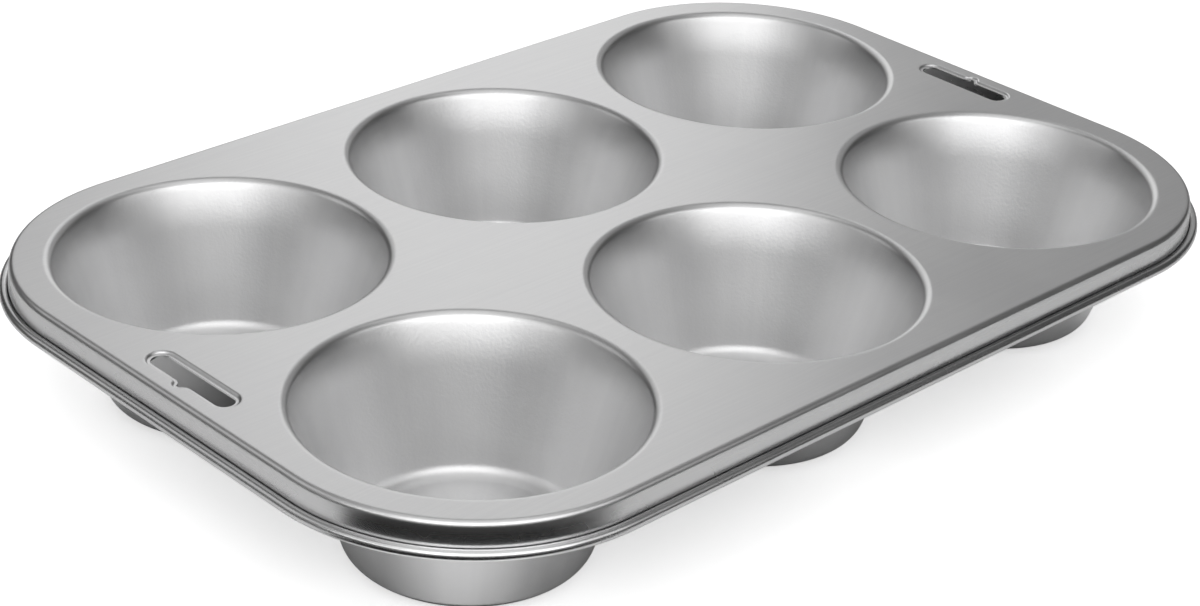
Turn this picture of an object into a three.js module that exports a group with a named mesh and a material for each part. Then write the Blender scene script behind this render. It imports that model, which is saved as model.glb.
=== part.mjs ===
// Jumbo muffin pan of pressed tinned steel: a flat deck with deep tapered cups, a hanging slot at
// each short end, and a skirt whose edge is rolled outward round a wire.
// Millimetres, +Z up. The cups stand on z = 0 and the deck is centred on the Z axis.
import * as THREE from 'three';
import { mergeVertices } from 'three/addons/utils/BufferGeometryUtils.js';

const degrees = THREE.MathUtils.degToRad;

// Sheet and clearances
const SHEET = 0.6;
const SEAM_GAP = 0.3; // between the deck and the lip of each cup
const CURL_GAP = 0.3; // between the rolled edge and the skirt
const WIRE_CLEARANCE = 0.25; // between the wire and the roll round it

// Cup grid, with the long axis along X
const COLUMN_NAMES = ['left', 'middle', 'right'];
const ROW_NAMES = ['front', 'back'];

// Cup section
const MOUTH_RADIUS = 50; // where the deck starts to roll over into a cup
const MOUTH_ROLL = 3; // radius of that roll
const LIP = 1; // flat ring of a cup outside its mouth roll
const CUP_DEPTH = 43.5; // deck top to cup floor
const FLARE_RADIUS = 60; // the wall bends on more gently under the mouth roll
const FLARE_LEAN = degrees(30); // where the mouth roll passes into the flare
const WALL_LEAN = degrees(17.5); // of the straight wall below the flare
const FLOOR_FILLET = 5;
const WEB = 8; // between the mouths of neighbouring cups

// Deck edge, skirt and rolled rim
const BORDER = 7.7; // from a mouth to the start of the edge roll
const EDGE_ROLL = 1.7;
const SKIRT_LEAN = degrees(5);
const BEAD_RADIUS = 1.55;
const BEAD_DROP = 8.4; // deck top to the middle of the bead
const WIRE_END_GAP = 1; // between the butted ends of the wire

// Hanging slots: the deck steps down round each of them and ends in a narrow level lip
const SLOT_LENGTH = 37;
const SLOT_WIDTH = 9.6;
const SLOT_MARGIN = 3.6; // from a slot to the start of the edge roll
const SLOT_BEND = 0.9; // radius of the bend down from the deck
const SLOT_RETURN = 0.65; // radius of the bend back to level
const SLOT_BEND_ANGLE = degrees(55);
const SLOT_LIP = 0.5;
const NOTCH_FLAT = 0.8; // straight bottom of the nail notch
const NOTCH_DEPTH = 0.5 * SLOT_MARGIN;
const NOTCH_BLEND = 1; // where the notch leaves the side of the slot
const NOTCH_LAND = 0.4; // radius left in the notch's corners inside the lip

// Facets
const CUP_FACETS = 32;
const MOUTH_FACETS = 3;
const FLARE_FACETS = 2;
const FILLET_FACETS = 3;
const CORNER_FACETS = 12;
const EDGE_FACETS = 3;
const CURL_FACETS = 10;
const WIRE_FACETS = 8;
const SLOT_END_FACETS = 8;
const SLOT_BEND_FACETS = 2;
const NOTCH_FACETS = 3;

// Sizes that follow from the ones above
const PITCH = 2 * MOUTH_RADIUS + WEB;
const DECK_TOP = CUP_DEPTH + SHEET;
const DECK_BOTTOM = DECK_TOP - SHEET;
const GRID_X = (PITCH * (COLUMN_NAMES.length - 1)) / 2;
const GRID_Y = (PITCH * (ROW_NAMES.length - 1)) / 2;
const CORNER_RADIUS = MOUTH_RADIUS + BORDER;
const OPENING_RADIUS = MOUTH_RADIUS + LIP + SEAM_GAP;
const BEAD_REACH = EDGE_ROLL - SHEET + BEAD_RADIUS; // square to the skirt, roll middle to bead middle
const SKIRT_FALL = BEAD_DROP - EDGE_ROLL + BEAD_REACH * Math.sin(SKIRT_LEAN);
const BEAD_OFFSET = BEAD_REACH * Math.cos(SKIRT_LEAN) + SKIRT_FALL * Math.tan(SKIRT_LEAN);
const BEAD_Z = DECK_TOP - BEAD_DROP;
const WIRE_RADIUS = BEAD_RADIUS - SHEET - WIRE_CLEARANCE;
const SLOT_X = GRID_X + CORNER_RADIUS - SLOT_MARGIN - SLOT_WIDTH / 2;
const SLOT_STEP = (SLOT_BEND + SLOT_RETURN) * Math.sin(SLOT_BEND_ANGLE);
const NOTCH_CORNER = SLOT_STEP + SLOT_LIP + NOTCH_LAND;

const tinnedSteel = new THREE.MeshStandardMaterial({ color: 0xc4c4c6, roughness: 0.36, metalness: 1 });
const brightWire = new THREE.MeshStandardMaterial({ color: 0xa9aaad, roughness: 0.45, metalness: 1 });

// Points of an arc in a section plane, both ends included. Angles run from the section's first axis.
function arc(centre, radius, from, to, facets) {
  const points = [];
  for (let i = 0; i <= facets; i += 1) {
    const angle = from + ((to - from) * i) / facets;
    points.push(new THREE.Vector2(
      centre.x + radius * Math.cos(angle),
      centre.y + radius * Math.sin(angle),
    ));
  }
  return points;
}

// One line through arcs that each start where the one before ends.
function chain(...arcs) {
  return arcs.flatMap((points, i) => (i === 0 ? points : points.slice(1)));
}

// Triangles between two loops of equal length that run counter-clockwise seen from above.
// Their outer side is on top where the second loop lies outside the first.
function band(first, second, closed = true) {
  const triangles = [];
  const count = closed ? first.length : first.length - 1;
  for (let i = 0; i < count; i += 1) {
    const next = (i + 1) % first.length;
    triangles.push([first[i], second[i], second[next]]);
    triangles.push([first[i], second[next], first[next]]);
  }
  return triangles;
}

// Triangles through a whole row of loops.
function bands(loops, closed = true) {
  return loops.slice(1).flatMap((loop, i) => band(loops[i], loop, closed));
}

// One closed geometry from triangles that share their corner points.
function stitch(triangles) {
  const positions = triangles.flat().flatMap((point) => point.toArray());
  const soup = new THREE.BufferGeometry();
  soup.setAttribute('position', new THREE.Float32BufferAttribute(positions, 3));
  const geometry = mergeVertices(soup);
  geometry.computeVertexNormals();
  return geometry;
}

function named(name, geometry, material) {
  const mesh = new THREE.Mesh(geometry, material);
  mesh.name = name;
  return mesh;
}

// Stations round the deck, counter-clockwise from where the right edge turns into the back right corner.
// The corners are concentric with the corner cups, so one offset moves the whole outline.
function rimStations() {
  const stations = [];
  [[1, 1], [-1, 1], [-1, -1], [1, -1]].forEach(([signX, signY], quarter) => {
    const centre = new THREE.Vector2(signX * GRID_X, signY * GRID_Y);
    const start = (quarter * Math.PI) / 2;
    arc(new THREE.Vector2(), 1, start, start + Math.PI / 2, CORNER_FACETS).forEach((normal) => {
      stations.push({ centre, normal });
    });
  });
  return stations;
}

function rimLoop(offset, z) {
  return rimStations().map(({ centre, normal }) => {
    const point = normal.clone().multiplyScalar(CORNER_RADIUS + offset).add(centre);
    return new THREE.Vector3(point.x, point.y, z);
  });
}

function mouthLoop(centre, z) {
  const circle = arc(centre, OPENING_RADIUS, 0, 2 * Math.PI, CUP_FACETS).slice(0, -1);
  return circle.map((point) => new THREE.Vector3(point.x, point.y, z));
}

// Border of the slot at one end of the deck: each point with the normal that faces into the slot.
// The notch for a nail widens the slot's outer side.
function slotStations(side) {
  const end = SLOT_LENGTH / 2 - SLOT_WIDTH / 2;
  const half = SLOT_WIDTH / 2;
  const swing = Math.acos(1 - NOTCH_DEPTH / (NOTCH_BLEND + NOTCH_CORNER));
  const cornerX = half + NOTCH_DEPTH - NOTCH_CORNER;
  const cornerY = NOTCH_FLAT / 2;
  const blendX = half + NOTCH_BLEND;
  const blendY = cornerY + (NOTCH_BLEND + NOTCH_CORNER) * Math.sin(swing);
  const runs = [
    { x: 0, y: -end, radius: half, from: -Math.PI, to: 0, facets: SLOT_END_FACETS },
    { x: blendX, y: -blendY, radius: -NOTCH_BLEND, from: 0, to: -swing, facets: NOTCH_FACETS },
    { x: cornerX, y: -cornerY, radius: NOTCH_CORNER, from: -swing, to: 0, facets: NOTCH_FACETS },
    { x: cornerX, y: cornerY, radius: NOTCH_CORNER, from: 0, to: swing, facets: NOTCH_FACETS },
    { x: blendX, y: blendY, radius: -NOTCH_BLEND, from: swing, to: 0, facets: NOTCH_FACETS },
    { x: 0, y: end, radius: half, from: 0, to: Math.PI, facets: SLOT_END_FACETS },
  ];
  const stations = runs.flatMap(({ x, y, radius, from, to, facets }, index) => {
    const outward = arc(new THREE.Vector2(), 1, from, to, facets);
    const joinsLast = index === 2 || index === 4;
    return outward.slice(joinsLast ? 1 : 0).map((normal) => ({
      point: new THREE.Vector2(x, y).addScaledVector(normal, radius),
      inward: normal.clone().negate(),
    }));
  });
  if (side > 0) {
    return stations;
  }
  return stations.map(({ point, inward }) => ({ point: point.negate(), inward: inward.negate() }));
}

function slotLoop(side, inset, z) {
  return slotStations(side).map(({ point, inward }) => {
    const moved = point.clone().addScaledVector(inward, inset);
    return new THREE.Vector3(side * SLOT_X + moved.x, moved.y, z);
  });
}

// Section of the rim from the deck's top face, over the edge, down the skirt, once round the wire
// and back under the deck. The first coordinate is the offset from the start of the edge roll.
function rimSection() {
  const edge = new THREE.Vector2(0, DECK_TOP - EDGE_ROLL);
  const bead = new THREE.Vector2(BEAD_OFFSET, BEAD_Z);
  const curlStart = Math.PI + SKIRT_LEAN;
  const curlEnd = 2 * Math.PI + SKIRT_LEAN + Math.acos((SHEET + CURL_GAP - BEAD_RADIUS) / BEAD_RADIUS);
  return [
    ...arc(edge, EDGE_ROLL, Math.PI / 2, SKIRT_LEAN, EDGE_FACETS),
    ...arc(bead, BEAD_RADIUS - SHEET, curlStart, curlEnd, CURL_FACETS),
    ...arc(bead, BEAD_RADIUS, curlEnd, curlStart, CURL_FACETS),
    ...arc(edge, EDGE_ROLL - SHEET, SKIRT_LEAN, Math.PI / 2, EDGE_FACETS),
  ];
}

// Section of a slot's stepped edge, from the deck's underside round the lip to its top face.
// The first coordinate is the inset from the slot's border.
function slotSection() {
  const bend = new THREE.Vector2(0, DECK_TOP - SLOT_BEND);
  const bendEnd = Math.PI / 2 - SLOT_BEND_ANGLE;
  const level = new THREE.Vector2(SLOT_STEP, bend.y + (SLOT_BEND + SLOT_RETURN) * Math.cos(SLOT_BEND_ANGLE));
  const returnStart = Math.PI + bendEnd;
  const returnEnd = (3 * Math.PI) / 2;
  const under = chain(
    arc(bend, SLOT_BEND - SHEET, Math.PI / 2, bendEnd, SLOT_BEND_FACETS),
    arc(level, SLOT_RETURN + SHEET, returnStart, returnEnd, SLOT_BEND_FACETS),
  );
  const over = chain(
    arc(level, SLOT_RETURN, returnEnd, returnStart, SLOT_BEND_FACETS),
    arc(bend, SLOT_BEND, bendEnd, Math.PI / 2, SLOT_BEND_FACETS),
  );
  const toEdge = new THREE.Vector2(SLOT_LIP, 0);
  return [...under, under.at(-1).clone().add(toEdge), over[0].clone().add(toEdge), ...over];
}

// Flat face of the deck with its openings cut out, facing up or down.
function deckFace(centres, z, facesUp) {
  const flat = (loop) => loop.map(({ x, y }) => new THREE.Vector2(x, y));
  const shape = new THREE.Shape(flat(rimLoop(0, z)));
  shape.holes = [
    ...centres.map((centre) => new THREE.Path(flat(mouthLoop(centre, z)))),
    ...[-1, 1].map((side) => new THREE.Path(flat(slotLoop(side, 0, z)))),
  ];
  const face = new THREE.ShapeGeometry(shape);
  const corner = (i) => new THREE.Vector3().fromBufferAttribute(face.attributes.position, i).setZ(z);
  const triangles = [];
  for (let i = 0; i < face.index.count; i += 3) {
    const [a, b, c] = [0, 1, 2].map((k) => corner(face.index.getX(i + k)));
    triangles.push(facesUp ? [a, b, c] : [a, c, b]);
  }
  return triangles;
}

function deckPanel(centres) {
  const rim = rimSection().map(({ x, y }) => rimLoop(x, y));
  const mouths = centres.map((centre) => [mouthLoop(centre, DECK_BOTTOM), mouthLoop(centre, DECK_TOP)]);
  const slots = [-1, 1].map((side) => slotSection().map(({ x, y }) => slotLoop(side, x, y)));
  return stitch([
    ...deckFace(centres, DECK_TOP, true),
    ...deckFace(centres, DECK_BOTTOM, false),
    ...bands(rim),
    ...mouths.flatMap((loops) => bands(loops)),
    ...slots.flatMap((loops) => bands(loops)),
  ]);
}

// Drawn cup: mouth roll, flare, straight wall and floor fillet, each tangent to the next.
function cup(centre) {
  const mouth = new THREE.Vector2(MOUTH_RADIUS, DECK_TOP - MOUTH_ROLL);
  const outward = new THREE.Vector2(Math.cos(FLARE_LEAN), -Math.sin(FLARE_LEAN));
  const flare = mouth.clone().addScaledVector(outward, FLARE_RADIUS - MOUTH_ROLL);
  const filletZ = SHEET + FLOOR_FILLET;
  const tangents = FLARE_RADIUS + FLOOR_FILLET;
  const wallFall = flare.y - filletZ + tangents * Math.sin(WALL_LEAN);
  const floorRadius = flare.x - tangents * Math.cos(WALL_LEAN) - wallFall * Math.tan(WALL_LEAN);
  const fillet = new THREE.Vector2(floorRadius, filletZ);
  const flareTop = Math.PI - FLARE_LEAN;
  const flareFoot = Math.PI - WALL_LEAN;
  const profile = [
    new THREE.Vector2(0, 0),
    ...arc(fillet, FLOOR_FILLET + SHEET, -Math.PI / 2, -WALL_LEAN, FILLET_FACETS),
    ...chain(
      arc(flare, FLARE_RADIUS - SHEET, flareFoot, flareTop, FLARE_FACETS),
      arc(mouth, MOUTH_ROLL - SHEET, flareTop, Math.PI / 2, MOUTH_FACETS),
    ),
    new THREE.Vector2(MOUTH_RADIUS + LIP, DECK_BOTTOM),
    new THREE.Vector2(MOUTH_RADIUS + LIP, DECK_TOP),
    ...chain(
      arc(mouth, MOUTH_ROLL, Math.PI / 2, flareTop, MOUTH_FACETS),
      arc(flare, FLARE_RADIUS, flareTop, flareFoot, FLARE_FACETS),
    ),
    ...arc(fillet, FLOOR_FILLET, -WALL_LEAN, -Math.PI / 2, FILLET_FACETS),
    new THREE.Vector2(0, SHEET),
  ];
  const geometry = new THREE.LatheGeometry(profile, CUP_FACETS);
  geometry.rotateX(Math.PI / 2);
  geometry.translate(centre.x, centre.y, 0);
  return geometry;
}

// Wire bent round the rim inside the roll, its two ends butted at the middle of the back edge.
function rimWire() {
  const section = arc(new THREE.Vector2(BEAD_OFFSET, BEAD_Z), WIRE_RADIUS, 0, 2 * Math.PI, WIRE_FACETS);
  const lines = section.map(({ x, y }) => {
    const loop = rimLoop(x, y);
    const corner = CORNER_FACETS + 1;
    const startEnd = loop[corner].clone().setX(-WIRE_END_GAP / 2);
    const farEnd = loop[corner].clone().setX(WIRE_END_GAP / 2);
    return [startEnd, ...loop.slice(corner), ...loop.slice(0, corner), farEnd];
  });
  const cap = (ends, middle) => ends.slice(1).map((point, i) => [middle, ends[i], point]);
  const last = lines[0].length - 1;
  const middleAt = (x) => new THREE.Vector3(x, lines[0][0].y - WIRE_RADIUS, BEAD_Z);
  const startRing = lines.map((line) => line[0]);
  const farRing = lines.map((line) => line[last]).reverse();
  return stitch([
    ...bands(lines.reverse(), false),
    ...cap(startRing, middleAt(-WIRE_END_GAP / 2)),
    ...cap(farRing, middleAt(WIRE_END_GAP / 2)),
  ]);
}

const pan = new THREE.Group();
pan.name = 'jumbo_muffin_pan';
const places = ROW_NAMES.flatMap((row, j) => COLUMN_NAMES.map((column, i) => ({
  name: `cup_${row}_${column}`,
  centre: new THREE.Vector2(i * PITCH - GRID_X, j * PITCH - GRID_Y),
})));
pan.add(named('deck_panel', deckPanel(places.map(({ centre }) => centre)), tinnedSteel));
pan.add(named('rim_wire', rimWire(), brightWire));
places.forEach(({ name, centre }) => pan.add(named(name, cup(centre), tinnedSteel)));

export default pan;
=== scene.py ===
"""Looks of the jumbo muffin pan: satin tinned steel with drawn cups, stepped slots and a wired rim.

Metres, +Z up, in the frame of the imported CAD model.
"""
import math

import bpy
from mathutils import Matrix, Vector
from mathutils.geometry import tessellate_polygon


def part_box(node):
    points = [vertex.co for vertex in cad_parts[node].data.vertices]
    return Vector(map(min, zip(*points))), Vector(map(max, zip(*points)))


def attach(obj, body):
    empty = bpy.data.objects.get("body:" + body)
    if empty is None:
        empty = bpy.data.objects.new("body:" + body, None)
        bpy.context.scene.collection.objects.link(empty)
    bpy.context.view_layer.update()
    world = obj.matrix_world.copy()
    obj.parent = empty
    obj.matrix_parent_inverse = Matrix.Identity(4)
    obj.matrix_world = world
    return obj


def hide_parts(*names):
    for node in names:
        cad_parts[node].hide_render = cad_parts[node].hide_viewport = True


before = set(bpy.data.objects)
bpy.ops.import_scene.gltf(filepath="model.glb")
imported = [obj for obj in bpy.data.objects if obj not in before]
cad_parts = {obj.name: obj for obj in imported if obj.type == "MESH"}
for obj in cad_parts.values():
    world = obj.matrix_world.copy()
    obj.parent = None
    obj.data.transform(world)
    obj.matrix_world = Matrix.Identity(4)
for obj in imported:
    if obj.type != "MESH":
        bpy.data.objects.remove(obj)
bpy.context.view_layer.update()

MM = 0.001

# Sizes, as in the CAD model
SHEET = 0.6 * MM
MOUTH_RADIUS = 50 * MM
MOUTH_ROLL = 3 * MM
LIP = 1 * MM
FLARE_RADIUS = 60 * MM
FLARE_LEAN = math.radians(30)
WALL_LEAN = math.radians(17.5)
FLOOR_FILLET = 5 * MM
BORDER = 7.7 * MM
EDGE_ROLL = 1.7 * MM
SKIRT_LEAN = math.radians(5)
BEAD_RADIUS = 1.55 * MM
BEAD_DROP = 8.4 * MM
CURL_GAP = 0.3 * MM
WIRE_CLEARANCE = 0.25 * MM
WIRE_END_GAP = 1 * MM
SLOT_LENGTH = 37 * MM
SLOT_WIDTH = 9.6 * MM
SLOT_MARGIN = 3.6 * MM
SLOT_BEND = 0.9 * MM
SLOT_RETURN = 0.65 * MM
SLOT_BEND_ANGLE = math.radians(55)
SLOT_LIP = 0.5 * MM
NOTCH_FLAT = 0.8 * MM
NOTCH_DEPTH = 0.5 * SLOT_MARGIN
NOTCH_BLEND = 1 * MM
NOTCH_LAND = 0.4 * MM

CUP_NAMES = [f"cup_{row}_{column}" for row in ("front", "back") for column in ("left", "middle", "right")]
CUP_CENTRES = {}
for cup_name in CUP_NAMES:
    low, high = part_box(cup_name)
    CUP_CENTRES[cup_name] = Vector(((low.x + high.x) / 2, (low.y + high.y) / 2))

DECK_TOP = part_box("deck_panel")[1].z
DECK_BOTTOM = DECK_TOP - SHEET
GRID_X = max(centre.x for centre in CUP_CENTRES.values())
GRID_Y = max(centre.y for centre in CUP_CENTRES.values())
CORNER_RADIUS = MOUTH_RADIUS + BORDER
LIP_RADIUS = MOUTH_RADIUS + LIP
BEAD_REACH = EDGE_ROLL - SHEET + BEAD_RADIUS
SKIRT_FALL = BEAD_DROP - EDGE_ROLL + BEAD_REACH * math.sin(SKIRT_LEAN)
BEAD_OFFSET = BEAD_REACH * math.cos(SKIRT_LEAN) + SKIRT_FALL * math.tan(SKIRT_LEAN)
BEAD_Z = DECK_TOP - BEAD_DROP
WIRE_RADIUS = BEAD_RADIUS - SHEET - WIRE_CLEARANCE
SLOT_X = GRID_X + CORNER_RADIUS - SLOT_MARGIN - SLOT_WIDTH / 2
SLOT_STEP = (SLOT_BEND + SLOT_RETURN) * math.sin(SLOT_BEND_ANGLE)
NOTCH_CORNER = SLOT_STEP + SLOT_LIP + NOTCH_LAND

# Fineness of the meshes
CUP_FACETS = 160
MOUTH_FACETS = 14
FILLET_FACETS = 14
FLARE_FACETS = 16
WALL_STEPS = 8
CORNER_FACETS = 40
SIDE_STEP = 12 * MM
EDGE_FACETS = 10
CURL_FACETS = 36
WIRE_FACETS = 16
SLOT_END_FACETS = 24
SLOT_BEND_FACETS = 8
NOTCH_FACETS = 6
FLAT_EDGE = 0.3 * MM  # strip that keeps a flat face flat up to its bend
SHARP_ANGLE = math.radians(40)


# Mesh tools
def arc(centre, radius, start, end, facets):
    """Points of an arc in a section plane, both ends included."""
    x, y = centre
    turns = [start + (end - start) * i / facets for i in range(facets + 1)]
    return [Vector((x + radius * math.cos(turn), y + radius * math.sin(turn))) for turn in turns]


def chain(*arcs):
    """One line through arcs that each start where the one before ends."""
    return [point for i, points in enumerate(arcs) for point in (points if i == 0 else points[1:])]


def steps(start, end, count):
    """Points on the line between two others, without its ends."""
    return [start.lerp(end, i / count) for i in range(1, count)]


class Builder:
    """Collects loops of points and the faces between them."""

    def __init__(self):
        self.points = []
        self.faces = []

    def loop(self, points):
        first = len(self.points)
        self.points.extend(points)
        return list(range(first, len(self.points)))

    def bridge(self, loops, closed=True):
        """Faces between loops; they look up where the next loop lies outside the one before."""
        for one, two in zip(loops, loops[1:]):
            for i in range(len(one) if closed else len(one) - 1):
                j = (i + 1) % len(one)
                self.faces.append((one[i], two[i], two[j], one[j]))

    def flat(self, border, holes, faces_up):
        """Flat face inside a border, with holes."""
        rings = [border] + holes
        order = [index for ring in rings for index in ring]
        outlines = [[Vector((self.points[i][0], self.points[i][1], 0)) for i in ring] for ring in rings]
        for triangle in tessellate_polygon(outlines):
            a, b, c = (order[i] for i in triangle)
            ab = Vector(self.points[b]) - Vector(self.points[a])
            ac = Vector(self.points[c]) - Vector(self.points[a])
            looks_up = ab.cross(ac).z > 0
            self.faces.append((a, b, c) if looks_up == faces_up else (a, c, b))

    def fan(self, loop, middle, faces_up):
        """Triangles from a loop to its middle."""
        centre = self.loop([middle])[0]
        for i, index in enumerate(loop):
            following = loop[(i + 1) % len(loop)]
            self.faces.append((centre, index, following) if faces_up else (centre, following, index))

    def make(self, name, material):
        mesh = bpy.data.meshes.new(name)
        mesh.from_pydata([tuple(p) for p in self.points], [], self.faces)
        mesh.validate()
        mesh.shade_smooth()
        mesh.set_sharp_from_angle(angle=SHARP_ANGLE)
        mesh.materials.append(material)
        piece = bpy.data.objects.new(name, mesh)
        bpy.context.scene.collection.objects.link(piece)
        return piece


# Outlines seen from above
def rim_stations():
    """Points round the deck's bend line with their outward normals, counter-clockwise.

    Each side has an even number of steps, so that one station lies at its middle.
    """
    corners = [(1, 1), (-1, 1), (-1, -1), (1, -1)]
    stations = []
    for quarter, (sign_x, sign_y) in enumerate(corners):
        centre = Vector((sign_x * GRID_X, sign_y * GRID_Y))
        start = quarter * math.pi / 2
        turn = [(centre, normal) for normal in arc((0, 0), 1, start, start + math.pi / 2, CORNER_FACETS)]
        following = corners[(quarter + 1) % len(corners)]
        end = Vector((following[0] * GRID_X, following[1] * GRID_Y))
        count = max(2, round((end - centre).length / SIDE_STEP))
        count += count % 2
        stations += turn + [(point, turn[-1][1]) for point in steps(centre, end, count)]
    return stations


RIM_STATIONS = rim_stations()


def rim_loop(offset, z):
    reach = CORNER_RADIUS + offset
    return [(centre.x + normal.x * reach, centre.y + normal.y * reach, z) for centre, normal in RIM_STATIONS]


def circle(centre, radius, z):
    points = arc(centre, radius, 0, 2 * math.pi, CUP_FACETS)[:-1]
    return [(point.x, point.y, z) for point in points]


def slot_stations(side):
    """Border of a slot, counter-clockwise, with the normals that face into it."""
    half = SLOT_WIDTH / 2
    end = SLOT_LENGTH / 2 - half
    swing = math.acos(1 - NOTCH_DEPTH / (NOTCH_BLEND + NOTCH_CORNER))
    corner_x = half + NOTCH_DEPTH - NOTCH_CORNER
    corner_y = NOTCH_FLAT / 2
    blend_x = half + NOTCH_BLEND
    blend_y = corner_y + (NOTCH_BLEND + NOTCH_CORNER) * math.sin(swing)
    runs = [  # centre, radius, start, finish, facets, whether it goes on from the run before
        ((0, -end), half, -math.pi, 0, SLOT_END_FACETS, False),
        ((blend_x, -blend_y), -NOTCH_BLEND, 0, -swing, NOTCH_FACETS, False),
        ((corner_x, -corner_y), NOTCH_CORNER, -swing, 0, NOTCH_FACETS, True),
        ((corner_x, corner_y), NOTCH_CORNER, 0, swing, NOTCH_FACETS, False),
        ((blend_x, blend_y), -NOTCH_BLEND, swing, 0, NOTCH_FACETS, True),
        ((0, end), half, 0, math.pi, SLOT_END_FACETS, False),
    ]
    stations = []
    for centre, radius, start, finish, facets, goes_on in runs:
        normals = arc((0, 0), 1, start, finish, facets)
        for normal in normals[1:] if goes_on else normals:
            stations.append((Vector(centre) + normal * radius, -normal))
    if side < 0:
        stations = [(-point, -inward) for point, inward in stations]
    return stations


def slot_loop(side, inset, z):
    points = [point + inward * inset for point, inward in slot_stations(side)]
    return [(side * SLOT_X + point.x, point.y, z) for point in points]


# Sections
def rim_section():
    """Offset and height from the deck's top face, over the edge, down the skirt and round the wire."""
    edge = (0, DECK_TOP - EDGE_ROLL)
    bead = (BEAD_OFFSET, BEAD_Z)
    curl_start = math.pi + SKIRT_LEAN
    curl_end = 2 * math.pi + SKIRT_LEAN + math.acos((SHEET + CURL_GAP - BEAD_RADIUS) / BEAD_RADIUS)
    over = arc(edge, EDGE_ROLL, math.pi / 2, SKIRT_LEAN, EDGE_FACETS)
    inside = arc(bead, BEAD_RADIUS - SHEET, curl_start, curl_end, CURL_FACETS)
    outside = arc(bead, BEAD_RADIUS, curl_end, curl_start, CURL_FACETS)
    under = arc(edge, EDGE_ROLL - SHEET, SKIRT_LEAN, math.pi / 2, EDGE_FACETS)
    down = Vector((math.sin(SKIRT_LEAN), -math.cos(SKIRT_LEAN))) * FLAT_EDGE
    return (
        [Vector((-FLAT_EDGE, DECK_TOP))] + over + [over[-1] + down, inside[0] - down] + inside
        + outside + [outside[-1] - down, under[0] + down] + under + [Vector((-FLAT_EDGE, DECK_BOTTOM))]
    )


def slot_section():
    """Inset and height from the deck's underside, down the step, round the lip and up to the deck's top."""
    bend = Vector((0, DECK_TOP - SLOT_BEND))
    bend_end = math.pi / 2 - SLOT_BEND_ANGLE
    level = Vector((SLOT_STEP, bend.y + (SLOT_BEND + SLOT_RETURN) * math.cos(SLOT_BEND_ANGLE)))
    return_start, return_end = math.pi + bend_end, 1.5 * math.pi
    under = chain(
        arc(bend, SLOT_BEND - SHEET, math.pi / 2, bend_end, SLOT_BEND_FACETS),
        arc(level, SLOT_RETURN + SHEET, return_start, return_end, SLOT_BEND_FACETS),
    )
    over = chain(
        arc(level, SLOT_RETURN, return_end, return_start, SLOT_BEND_FACETS),
        arc(bend, SLOT_BEND, bend_end, math.pi / 2, SLOT_BEND_FACETS),
    )
    lip = Vector((SLOT_LIP, 0))
    return (
        [Vector((-FLAT_EDGE, DECK_BOTTOM))] + under + [under[-1] + lip, over[0] + lip] + over
        + [Vector((-FLAT_EDGE, DECK_TOP))]
    )


def cup_section():
    """Radius and height from the middle of the base, up outside, over the lip and down inside."""
    mouth = Vector((MOUTH_RADIUS, DECK_TOP - MOUTH_ROLL))
    outward = Vector((math.cos(FLARE_LEAN), -math.sin(FLARE_LEAN)))
    flare = mouth + outward * (FLARE_RADIUS - MOUTH_ROLL)
    fillet_z = SHEET + FLOOR_FILLET
    tangents = FLARE_RADIUS + FLOOR_FILLET
    wall_fall = flare.y - fillet_z + tangents * math.sin(WALL_LEAN)
    floor_radius = flare.x - tangents * math.cos(WALL_LEAN) - wall_fall * math.tan(WALL_LEAN)
    fillet = Vector((floor_radius, fillet_z))
    flare_top, flare_foot = math.pi - FLARE_LEAN, math.pi - WALL_LEAN
    low_out = arc(fillet, FLOOR_FILLET + SHEET, -math.pi / 2, -WALL_LEAN, FILLET_FACETS)
    top_out = chain(
        arc(flare, FLARE_RADIUS - SHEET, flare_foot, flare_top, FLARE_FACETS),
        arc(mouth, MOUTH_ROLL - SHEET, flare_top, math.pi / 2, MOUTH_FACETS),
    )
    top_in = chain(
        arc(mouth, MOUTH_ROLL, math.pi / 2, flare_top, MOUTH_FACETS),
        arc(flare, FLARE_RADIUS, flare_top, flare_foot, FLARE_FACETS),
    )
    low_in = arc(fillet, FLOOR_FILLET, -WALL_LEAN, -math.pi / 2, FILLET_FACETS)
    flat = Vector((FLAT_EDGE, 0))
    return (
        [low_out[0] - flat] + low_out + steps(low_out[-1], top_out[0], WALL_STEPS) + top_out
        + [top_out[-1] + flat, Vector((LIP_RADIUS, DECK_BOTTOM)), Vector((LIP_RADIUS, DECK_TOP))]
        + [top_in[0] + flat] + top_in + steps(top_in[-1], low_in[0], WALL_STEPS) + low_in
        + [low_in[-1] - flat]
    )


# Pieces
def deck_panel(material):
    builder = Builder()
    rim = [builder.loop(rim_loop(p.x, p.y)) for p in rim_section()]
    builder.bridge(rim)
    slots = [[builder.loop(slot_loop(side, p.x, p.y)) for p in slot_section()] for side in (-1, 1)]
    mouths = [
        [builder.loop(circle(centre, LIP_RADIUS, z)) for z in (DECK_BOTTOM, DECK_TOP)]
        for centre in CUP_CENTRES.values()
    ]
    for loops in slots + mouths:
        builder.bridge(loops)
    builder.flat(rim[0], [loops[-1] for loops in slots + mouths], True)
    builder.flat(rim[-1], [loops[0] for loops in slots + mouths], False)
    return builder.make("satin_deck", material)


def cup(name, material):
    """A cup round its own origin, set down at its place in the grid."""
    builder = Builder()
    loops = [builder.loop(circle((0, 0), p.x, p.y)) for p in cup_section()]
    builder.bridge(loops)
    builder.fan(loops[0], (0, 0, 0), False)
    builder.fan(loops[-1], (0, 0, SHEET), True)
    piece = builder.make(f"drawn_{name}", material)
    piece.location = CUP_CENTRES[name].to_3d()
    return piece


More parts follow.
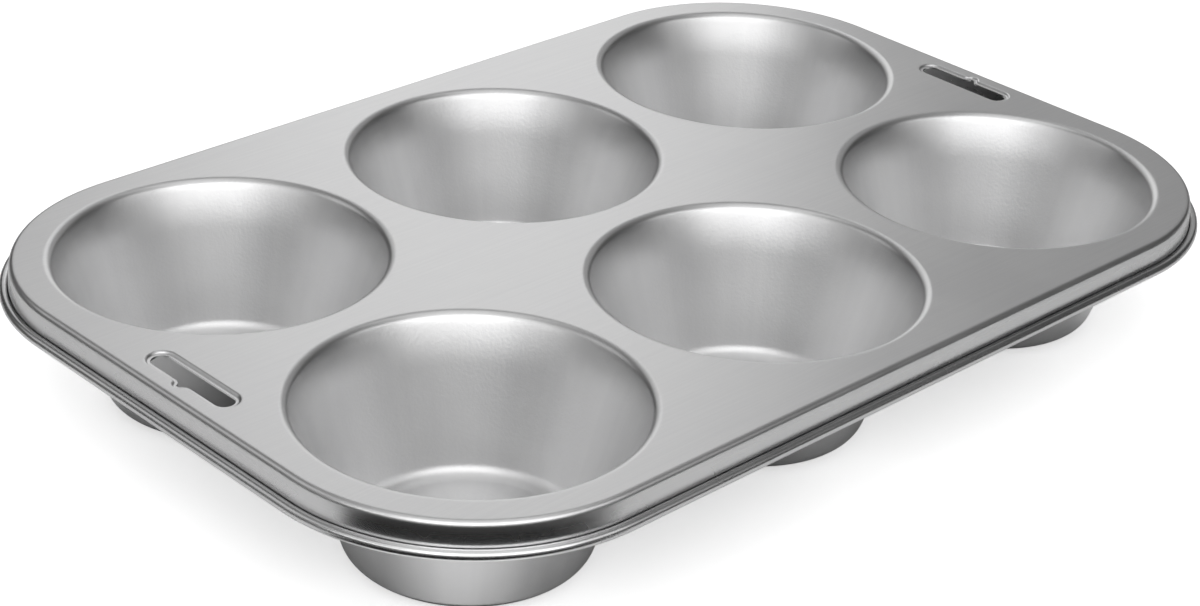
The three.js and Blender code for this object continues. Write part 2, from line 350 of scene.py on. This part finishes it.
def rim_wire(material):
    """Wire inside the roll, its ends butted at the middle of the back edge."""
    builder = Builder()
    back = [i for i, (_, normal) in enumerate(RIM_STATIONS) if normal.y > abs(normal.x)]
    cut = min(back, key=lambda i: abs(RIM_STATIONS[i][0].x))
    lines = []
    for p in arc((BEAD_OFFSET, BEAD_Z), WIRE_RADIUS, 2 * math.pi, 0, WIRE_FACETS)[:-1]:
        points = rim_loop(p.x, p.y)
        open_line = points[cut:] + points[:cut] + [points[cut]]
        _, y, z = points[cut]
        open_line[0] = (-WIRE_END_GAP / 2, y, z)
        open_line[-1] = (WIRE_END_GAP / 2, y, z)
        lines.append(builder.loop(open_line))
    builder.bridge(lines + lines[:1], closed=False)
    middle_y = GRID_Y + CORNER_RADIUS + BEAD_OFFSET
    builder.fan([line[0] for line in lines], (-WIRE_END_GAP / 2, middle_y, BEAD_Z), True)
    builder.fan([line[-1] for line in lines], (WIRE_END_GAP / 2, middle_y, BEAD_Z), False)
    return builder.make("bright_rim_wire", material)


# Finish of the tinned sheet
DECK_ROUGHNESS, RIM_ROUGHNESS, CUP_ROUGHNESS = 0.36, 0.27, 0.43
DULL_TIN = (0.71, 0.71, 0.715, 1)
PALE_TIN = (0.78, 0.78, 0.78, 1)
TURN_START, TURN_END = 0.2 * MM, 4 * MM  # under the deck's top: its finish passes into the one below
RUB_START, RUB_FULL = 0.02 * MM, 0.5 * MM  # under the deck's top: the edge that hands rub
RUB_FADE, RUB_END = 1.2 * MM, 3 * MM
FINE_DETAIL, RICH_DETAIL = 3.0, 4.0  # octaves of a noise
NOISE_MEAN = 0.5
GRAIN_SCALE = 1100
CLOUD_SCALE = 28
WEAR_SCALE = 60
WEAR_LOW, WEAR_HIGH = 0.35, 0.7
MARKS_SCALE = 7
MARKS_SHIFT = (30, 30, 30)  # per metre from one cup to another
STREAK_STRETCH = (25, 1400, 1400)
ROLLING_STRETCH = (40, 40, 2600)
CLOUD_TONE, LINE_TONE, WEAR_TONE = 0.08, 0.05, 0.4
TONE_LOW, TONE_HIGH = 0.03, 0.1
CLOUD_ROUGHNESS = 0.08
WEAR_POLISH = 0.04
DECK_GRAIN, RIM_GRAIN, CUP_GRAIN = 0.35, 0.1, 1.3
DECK_STREAK = 0.2
RIM_MARKS, CUP_MARKS = 0.4, 0.8
TIN_RELIEF = 0.12
TIN_RELIEF_DEPTH = 0.25 * MM

# Finish of the wire
DARK_WIRE = (0.36, 0.36, 0.37, 1)
PALE_WIRE = (0.5, 0.5, 0.51, 1)
WIRE_GRAIN_SCALE = 300
WIRE_GRAIN_LOW, WIRE_GRAIN_HIGH = 0.3, 0.7
WIRE_SMOOTH, WIRE_ROUGH = 0.38, 0.5
WIRE_RELIEF = 0.15
WIRE_RELIEF_DEPTH = 0.1 * MM

# Papers and cards of the studio
WHITE = (1, 1, 1, 1)
PAPER_WHITE = (0.9, 0.9, 0.9, 1)
# black of the painted dark reflection in front of the pan
DARK_REFLECTION_BLACK = (0.02, 0.02, 0.02, 1)
FLOOR_GLOW = 0.8
MIRROR_GLOW = 0.1
GLOW_START, GLOW_FULL = 400 * MM, 900 * MM  # from the middle of the pan
# Painted shadow on the floor: its glow dims where the pan is near
PAINTED_SHADOW_REACH = 70 * MM
PAINTED_SHADOW_SAMPLES = 8
PAINTED_SHADOW_TONE = 0.65
# Painted shade of the pan on the card under it, seen only in the metal
SHADE_START, SHADE_END = 0 * MM, 75 * MM  # from the rectangle through the corner cups' middles
SHADE_DARK, SHADE_PALE = 0.05, 0.95
# Painted light under the pan's corners, a glow on that card seen only in the metal
CORNER_START, CORNER_FULL = 0 * MM, 34 * MM  # past both sides of that rectangle
CORNER_FADE, CORNER_END = 62 * MM, 90 * MM  # from that rectangle
CORNER_PAINTED_LIGHT = 0.42
TOUCH = 3 * MM  # nearer than this, a face stands on the floor


# Materials
class Nodes:
    """Shorthand for filling a node tree."""

    def __init__(self, tree):
        self.tree = tree
        tree.nodes.clear()

    def add(self, kind, inputs=None, **settings):
        node = self.tree.nodes.new(kind)
        for name, value in settings.items():
            setattr(node, name, value)
        for key, value in (inputs or {}).items():
            if isinstance(value, bpy.types.NodeSocket):
                self.tree.links.new(value, node.inputs[key])
            else:
                node.inputs[key].default_value = value
        return node

    def maths(self, operation, *values):
        return self.add("ShaderNodeMath", dict(enumerate(values)), operation=operation).outputs[0]

    def vector(self, operation, *values):
        node = self.add("ShaderNodeVectorMath", dict(enumerate(values)), operation=operation)
        return node.outputs["Vector"]

    def remap(self, value, from_low, from_high, to_low, to_high):
        """Smooth step from one value to another."""
        ends = {"From Min": from_low, "From Max": from_high, "To Min": to_low, "To Max": to_high}
        node = self.add("ShaderNodeMapRange", {"Value": value, **ends}, interpolation_type="SMOOTHSTEP")
        return node.outputs["Result"]

    def noise(self, place, scale=1.0, detail=FINE_DETAIL, stretch=None):
        if stretch:
            mapping = self.add("ShaderNodeMapping", {"Vector": place, "Scale": stretch})
            place = mapping.outputs["Vector"]
        node = self.add("ShaderNodeTexNoise", {"Vector": place, "Scale": scale, "Detail": detail})
        return node.outputs["Fac"]

    def metal(self, colours, pale, roughness, relief, strength, depth):
        """Metal between two colours, with a fine relief."""
        ramp = self.add("ShaderNodeValToRGB", {"Fac": pale})
        for element, colour in zip(ramp.color_ramp.elements, colours):
            element.color = colour
        bump = self.add("ShaderNodeBump", {"Height": relief, "Strength": strength, "Distance": depth})
        shader = self.add("ShaderNodeBsdfPrincipled", {
            "Base Color": ramp.outputs["Color"], "Metallic": 1.0, "Roughness": roughness,
            "Normal": bump.outputs["Normal"],
        })
        self.add("ShaderNodeOutputMaterial", {"Surface": shader.outputs["BSDF"]})

    def paper(self, colour, glow, hidden):
        """Matt paper with a glow of its own, clear where it is hidden."""
        matt = self.add("ShaderNodeBsdfDiffuse", {"Color": colour})
        shine = self.add("ShaderNodeEmission", {"Color": WHITE, "Strength": glow})
        both = self.add("ShaderNodeAddShader", {0: matt.outputs[0], 1: shine.outputs[0]})
        clear = self.add("ShaderNodeBsdfTransparent")
        shown = self.add("ShaderNodeMixShader", {0: hidden, 1: both.outputs[0], 2: clear.outputs[0]})
        self.add("ShaderNodeOutputMaterial", {"Surface": shown.outputs[0]})


def new_material(name):
    """A material and its empty node tree."""
    material = bpy.data.materials.new(name)
    material.use_nodes = True
    return material, Nodes(material.node_tree)


def rolling_lines(nodes, place):
    """Fine lines along the rim."""
    return nodes.noise(place, stretch=ROLLING_STRETCH)


def drawing_marks(nodes, place):
    """Soft streaks down the wall of a cup, not the same on any two."""
    level = nodes.vector("MULTIPLY", place, (1, 1, 0))
    ring = nodes.vector("NORMALIZE", level)
    home = nodes.add("ShaderNodeObjectInfo").outputs["Location"]
    turned = nodes.vector("ADD", ring, nodes.vector("MULTIPLY", home, MARKS_SHIFT))
    return nodes.noise(turned, MARKS_SCALE, RICH_DETAIL)


def tinned_steel(name, low_roughness, low_grain, marks, marks_share):
    """Satin tin, rubbed smoother along its edges.

    Roughness, grain and marks pass from those of the flat deck to those given below it.
    """
    material, nodes = new_material(name)
    place = nodes.add("ShaderNodeTexCoord").outputs["Object"]
    spot = nodes.vector("ADD", place, nodes.add("ShaderNodeObjectInfo").outputs["Location"])
    height = nodes.add("ShaderNodeSeparateXYZ", {"Vector": place}).outputs["Z"]
    below = nodes.remap(height, DECK_TOP - TURN_END, DECK_TOP - TURN_START, 1.0, 0.0)
    on_deck = nodes.maths("SUBTRACT", 1.0, below)

    grain = nodes.noise(spot, GRAIN_SCALE)
    streak = nodes.noise(spot, stretch=STREAK_STRETCH)
    cloud = nodes.noise(spot, CLOUD_SCALE)
    mark = nodes.maths("MULTIPLY", marks(nodes, place), below)
    under_top = nodes.remap(height, DECK_TOP - RUB_FULL, DECK_TOP - RUB_START, 1.0, 0.0)
    over_wall = nodes.remap(height, DECK_TOP - RUB_END, DECK_TOP - RUB_FADE, 0.0, 1.0)
    patches = nodes.remap(nodes.noise(spot, WEAR_SCALE, RICH_DETAIL), WEAR_LOW, WEAR_HIGH, 0.0, 1.0)
    worn = nodes.maths("MULTIPLY", nodes.maths("MULTIPLY", over_wall, under_top), patches)

    lines = nodes.maths("ADD", nodes.maths("MULTIPLY", streak, on_deck), mark)
    cloud_tone = nodes.maths("MULTIPLY", cloud, CLOUD_TONE)
    tone = nodes.maths("ADD", cloud_tone, nodes.maths("MULTIPLY", lines, LINE_TONE))
    even_pale = nodes.remap(tone, TONE_LOW, TONE_HIGH, 0.0, 1.0)
    pale = nodes.maths("ADD", even_pale, nodes.maths("MULTIPLY", worn, WEAR_TONE))

    even_rough = nodes.remap(below, 0.0, 1.0, DECK_ROUGHNESS, low_roughness)
    cloudy = nodes.maths("MULTIPLY", nodes.maths("SUBTRACT", cloud, NOISE_MEAN), CLOUD_ROUGHNESS)
    polish = nodes.maths("MULTIPLY", worn, WEAR_POLISH)
    roughness = nodes.maths("SUBTRACT", nodes.maths("ADD", even_rough, cloudy), polish)

    grain_relief = nodes.maths("MULTIPLY", grain, nodes.remap(below, 0.0, 1.0, DECK_GRAIN, low_grain))
    streak_relief = nodes.maths("MULTIPLY", streak, nodes.remap(below, 0.0, 1.0, DECK_STREAK, 0.0))
    mark_relief = nodes.maths("MULTIPLY", mark, marks_share)
    relief = nodes.maths("ADD", nodes.maths("ADD", grain_relief, streak_relief), mark_relief)
    nodes.metal((DULL_TIN, PALE_TIN), pale, roughness, relief, TIN_RELIEF, TIN_RELIEF_DEPTH)
    return material


def wire_steel():
    material, nodes = new_material("drawn_wire")
    grain = nodes.noise(nodes.add("ShaderNodeTexCoord").outputs["Object"], WIRE_GRAIN_SCALE)
    roughness = nodes.remap(grain, WIRE_GRAIN_LOW, WIRE_GRAIN_HIGH, WIRE_SMOOTH, WIRE_ROUGH)
    nodes.metal((DARK_WIRE, PALE_WIRE), grain, roughness, grain, WIRE_RELIEF, WIRE_RELIEF_DEPTH)
    return material


def floor_paper():
    """White paper lit by the lamps. It glows for rays that look at it, with a painted shadow that dims the
    glow where the pan covers it.
    """
    material, nodes = new_material("floor_paper")
    path = nodes.add("ShaderNodeLightPath")
    mirrored = nodes.maths("MAXIMUM", path.outputs["Is Glossy Ray"], path.outputs["Is Transmission Ray"])
    place = nodes.add("ShaderNodeTexCoord").outputs["Object"]
    away = nodes.add("ShaderNodeVectorMath", {0: place}, operation="LENGTH").outputs["Value"]
    far_glow = nodes.remap(away, GLOW_START, GLOW_FULL, 0.0, MIRROR_GLOW)
    glow_mirrored = nodes.maths("MULTIPLY", mirrored, far_glow)
    glow_seen = nodes.maths("MULTIPLY", path.outputs["Is Camera Ray"], FLOOR_GLOW)
    # painted shadow: ambient occlusion dims the glow near the pan
    painted_shadow_ao = nodes.add("ShaderNodeAmbientOcclusion", {"Distance": PAINTED_SHADOW_REACH}, samples=PAINTED_SHADOW_SAMPLES)
    painted_shadow_dimming = nodes.remap(painted_shadow_ao.outputs["AO"], 0.0, 1.0, PAINTED_SHADOW_TONE, 1.0)
    glow = nodes.maths("MULTIPLY", nodes.maths("ADD", glow_seen, glow_mirrored), painted_shadow_dimming)
    behind = nodes.add("ShaderNodeNewGeometry").outputs["Backfacing"]
    touching = nodes.maths("LESS_THAN", path.outputs["Ray Length"], TOUCH)
    nodes.paper(PAPER_WHITE, glow, nodes.maths("MAXIMUM", behind, touching))
    return material


# Painted dark reflection: a black sheet seen only in the metal
def black_card():
    material, nodes = new_material("black_card")
    shader = nodes.add("ShaderNodeBsdfDiffuse", {"Color": DARK_REFLECTION_BLACK})
    nodes.add("ShaderNodeOutputMaterial", {"Surface": shader.outputs[0]})
    return material


def shade_card():
    """Card for the metal to show: painted shade, dark under the middle of the pan, and a painted glow of
    light under its corners.
    """
    material, nodes = new_material("shade_card")
    place = nodes.add("ShaderNodeTexCoord").outputs["Object"]
    along = nodes.add("ShaderNodeSeparateXYZ", {"Vector": place}).outputs
    past_x, past_y = (
        nodes.maths("MAXIMUM", nodes.maths("SUBTRACT", nodes.maths("ABSOLUTE", along[axis]), edge), 0.0)
        for axis, edge in (("X", GRID_X), ("Y", GRID_Y))
    )
    square_x = nodes.maths("MULTIPLY", past_x, past_x)
    square_y = nodes.maths("MULTIPLY", past_y, past_y)
    from_grid = nodes.maths("SQRT", nodes.maths("ADD", square_x, square_y))
    # painted shade: darker towards the middle of the pan
    painted_shade_grey = nodes.remap(from_grid, SHADE_START, SHADE_END, SHADE_DARK, SHADE_PALE)
    past_both = nodes.maths("MINIMUM", past_x, past_y)
    # painted light: the card glows under the pan's corners
    painted_corner_light = nodes.remap(past_both, CORNER_START, CORNER_FULL, 0.0, CORNER_PAINTED_LIGHT)
    glow = nodes.maths("MULTIPLY", painted_corner_light, nodes.remap(from_grid, CORNER_FADE, CORNER_END, 1.0, 0.0))
    touching = nodes.maths("LESS_THAN", nodes.add("ShaderNodeLightPath").outputs["Ray Length"], TOUCH)
    nodes.paper(painted_shade_grey, glow, touching)
    return material


# Camera of the photograph
CAMERA_AZIMUTH = math.radians(-44.952)
CAMERA_ELEVATION = math.radians(28.009)
CAMERA_ROLL = math.radians(2.808)
CAMERA_DISTANCE = 755.52 * MM
CAMERA_TARGET = Vector((-45.34 * MM, -36.77 * MM, DECK_TOP))
CAMERA_LENS = 81.48
SENSOR_WIDTH = 36.0
CLIP_START = 10 * MM

to_camera = Vector((
    math.sin(CAMERA_AZIMUTH) * math.cos(CAMERA_ELEVATION),
    -math.cos(CAMERA_AZIMUTH) * math.cos(CAMERA_ELEVATION),
    math.sin(CAMERA_ELEVATION),
))
level_right = Vector((math.cos(CAMERA_AZIMUTH), math.sin(CAMERA_AZIMUTH), 0))
level_up = to_camera.cross(level_right)
camera_right = level_right * math.cos(CAMERA_ROLL) + level_up * math.sin(CAMERA_ROLL)
camera_up = level_up * math.cos(CAMERA_ROLL) - level_right * math.sin(CAMERA_ROLL)
camera_place = CAMERA_TARGET + to_camera * CAMERA_DISTANCE

camera_data = bpy.data.cameras.new("camera")
camera_data.lens = CAMERA_LENS
camera_data.sensor_width = SENSOR_WIDTH
camera_data.sensor_fit = "HORIZONTAL"
camera_data.clip_start = CLIP_START
camera = bpy.data.objects.new("camera", camera_data)
camera.matrix_world = Matrix((
    (camera_right.x, camera_up.x, to_camera.x, camera_place.x),
    (camera_right.y, camera_up.y, to_camera.y, camera_place.y),
    (camera_right.z, camera_up.z, to_camera.z, camera_place.z),
    (0, 0, 0, 1),
))
bpy.context.scene.collection.objects.link(camera)
bpy.context.scene.camera = camera

# Lamps
LOOK = Vector((-to_camera.x, -to_camera.y, 0)).normalized()
SIDE = level_right
CENTRE = Vector((0, 0, DECK_TOP))
IN_FRONT = 180  # turn towards the camera


def studio_place(turn, rise, distance):
    """A place round the pan: degrees turned from behind it to the right, degrees over the horizon."""
    turn = math.radians(turn)
    rise = math.radians(rise)
    level = LOOK * math.cos(turn) + SIDE * math.sin(turn)
    return CENTRE + (level * math.cos(rise) + Vector((0, 0, math.sin(rise)))) * distance


def softbox(name, turn, rise, distance, width, height, radiance):
    lamp = bpy.data.lights.new(name, "AREA")
    lamp.shape = "RECTANGLE"
    lamp.size, lamp.size_y = width, height
    lamp.energy = radiance * math.pi * width * height
    lamp_object = bpy.data.objects.new(name, lamp)
    place = studio_place(turn, rise, distance)
    lamp_object.location = place
    lamp_object.rotation_mode = "QUATERNION"
    lamp_object.rotation_quaternion = (CENTRE - place).to_track_quat("-Z", "Y")
    lamp_object.visible_camera = False
    bpy.context.scene.collection.objects.link(lamp_object)


SOFTBOXES = [  # name, turn, rise, distance, width, height, radiance
    ("front_floor_strip", 176, 12, 1.2, 1.6, 0.2, 0.29),
    ("front_low_strip", 165, 22, 1.2, 1.3, 0.22, 1.04),
    ("front_strip", 165, 32, 1.2, 1.3, 0.22, 2.4),
    ("front_middle_strip", 165, 42, 1.2, 1.3, 0.22, 1.62),
    ("front_high_strip", 168, 52, 1.2, 1.2, 0.22, 1.3),
    ("high_strip", 172, 62, 1.2, 1.1, 0.22, 0.62),
    ("crown_strip", 175, 72, 1.2, 1.0, 0.22, 0.32),
    ("front_left_softbox", 214, 26, 1.2, 0.95, 0.26, 1.47),
    ("front_left_high_softbox", 214, 47, 1.2, 0.9, 0.52, 0.63),
    ("front_right_softbox", 112, 36, 1.2, 0.5, 0.6, 0.85),
    ("overhead_softbox", 0, 88, 1.0, 0.7, 0.7, 0.62),
    ("left_panel", 270, 35, 1.2, 0.7, 0.6, 0.56),
    ("left_low_strip", 250, 12, 1.2, 0.8, 0.3, 0.14),
    ("back_panel", -5, 27, 1.2, 0.46, 0.75, 0.66),
    ("back_left_panel", -30, 30, 1.2, 0.5, 0.5, 0.35),
    ("back_wall", 4, 28, 1.5, 2.2, 1.0, 0.28),
    ("back_top_strip", 0, 52, 1.2, 0.9, 0.2, 0.26),
    ("back_low_strip", 0, 6, 1.2, 0.9, 0.2, 0.44),
]
for settings in SOFTBOXES:
    softbox(*settings)

# Air of the studio, dim at the horizon and paler overhead
AIR_LOW, AIR_HIGH = 0.6, 0.95  # sine of the angle over the horizon
AIR_DIM, AIR_PALE = 0.054, 0.216
world = bpy.data.worlds.new("studio")
bpy.context.scene.world = world
world.use_nodes = True
sky = Nodes(world.node_tree)
direction = sky.add("ShaderNodeTexCoord").outputs["Generated"]
upward = sky.add("ShaderNodeSeparateXYZ", {"Vector": direction}).outputs["Z"]
air_light = sky.remap(upward, AIR_LOW, AIR_HIGH, AIR_DIM, AIR_PALE)
air = sky.add("ShaderNodeBackground", {"Color": WHITE, "Strength": air_light})
sky.add("ShaderNodeOutputWorld", {"Surface": air.outputs[0]})

# Stage
FLOOR_REACH = 6.0
FLOOR_Z = -SHEET / 2
SHADE_MARGIN = 200 * MM
SHADE_Z = -SHEET / 4
CARD_NEAR, CARD_WING, CARD_FAR = 200 * MM, 360 * MM, 1000 * MM  # from the middle of the pan
CARD_SPREAD, CARD_REACH = 36, 110  # degrees to each side: the near part and the whole card
CARD_STEPS = 36
CARD_Z = 0.5 * MM


def sheet(name, points, faces, material):
    mesh = bpy.data.meshes.new(name)
    mesh.from_pydata(points, [], faces)
    mesh.materials.append(material)
    piece = bpy.data.objects.new(name, mesh)
    bpy.context.scene.collection.objects.link(piece)
    return piece


def rectangle(name, half_x, half_y, z, material):
    corners = [(-half_x, -half_y, z), (half_x, -half_y, z), (half_x, half_y, z), (-half_x, half_y, z)]
    return sheet(name, corners, [(0, 1, 2, 3)], material)


def front_card():
    """Part of a ring round the pan, nearer to it in the middle than at its wings."""
    points = []
    for i in range(CARD_STEPS + 1):
        aside = CARD_REACH * (2 * i / CARD_STEPS - 1)
        near = CARD_NEAR if abs(aside) <= CARD_SPREAD else CARD_WING
        for distance in (near, CARD_FAR):
            point = studio_place(IN_FRONT + aside, 0, distance)
            points.append((point.x, point.y, CARD_Z))
    faces = [(2 * i, 2 * i + 2, 2 * i + 3, 2 * i + 1) for i in range(CARD_STEPS)]
    return sheet("black_card", points, faces, black_card())


def show_only_mirrored(piece):
    """Leaves a card to be seen in the metal alone."""
    piece.visible_camera = False
    piece.visible_diffuse = False
    piece.visible_shadow = False


floor = rectangle("floor", FLOOR_REACH, FLOOR_REACH, FLOOR_Z, floor_paper())

# Black card on the floor in front of the pan: a painted dark reflection for the near corner and the wired
# edge
card = front_card()
show_only_mirrored(card)

# Card under the pan, with painted shade and painted light, for the outsides of the cups to show
shade = rectangle("shade_card", GRID_X + SHADE_MARGIN, GRID_Y + SHADE_MARGIN, SHADE_Z, shade_card())
show_only_mirrored(shade)

# Dressing the frame
deck = deck_panel(tinned_steel("satin_tin_deck", RIM_ROUGHNESS, RIM_GRAIN, rolling_lines, RIM_MARKS))
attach(deck, "root")
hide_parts("deck_panel")

wire = rim_wire(wire_steel())
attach(wire, "root")
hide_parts("rim_wire")

cup_tin = tinned_steel("satin_tin_cup", CUP_ROUGHNESS, CUP_GRAIN, drawing_marks, CUP_MARKS)
for cup_name in CUP_NAMES:
    drawn_cup = cup(cup_name, cup_tin)
    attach(drawn_cup, "root")
    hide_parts(cup_name)

bpy.context.scene.view_settings.view_transform = "Standard"
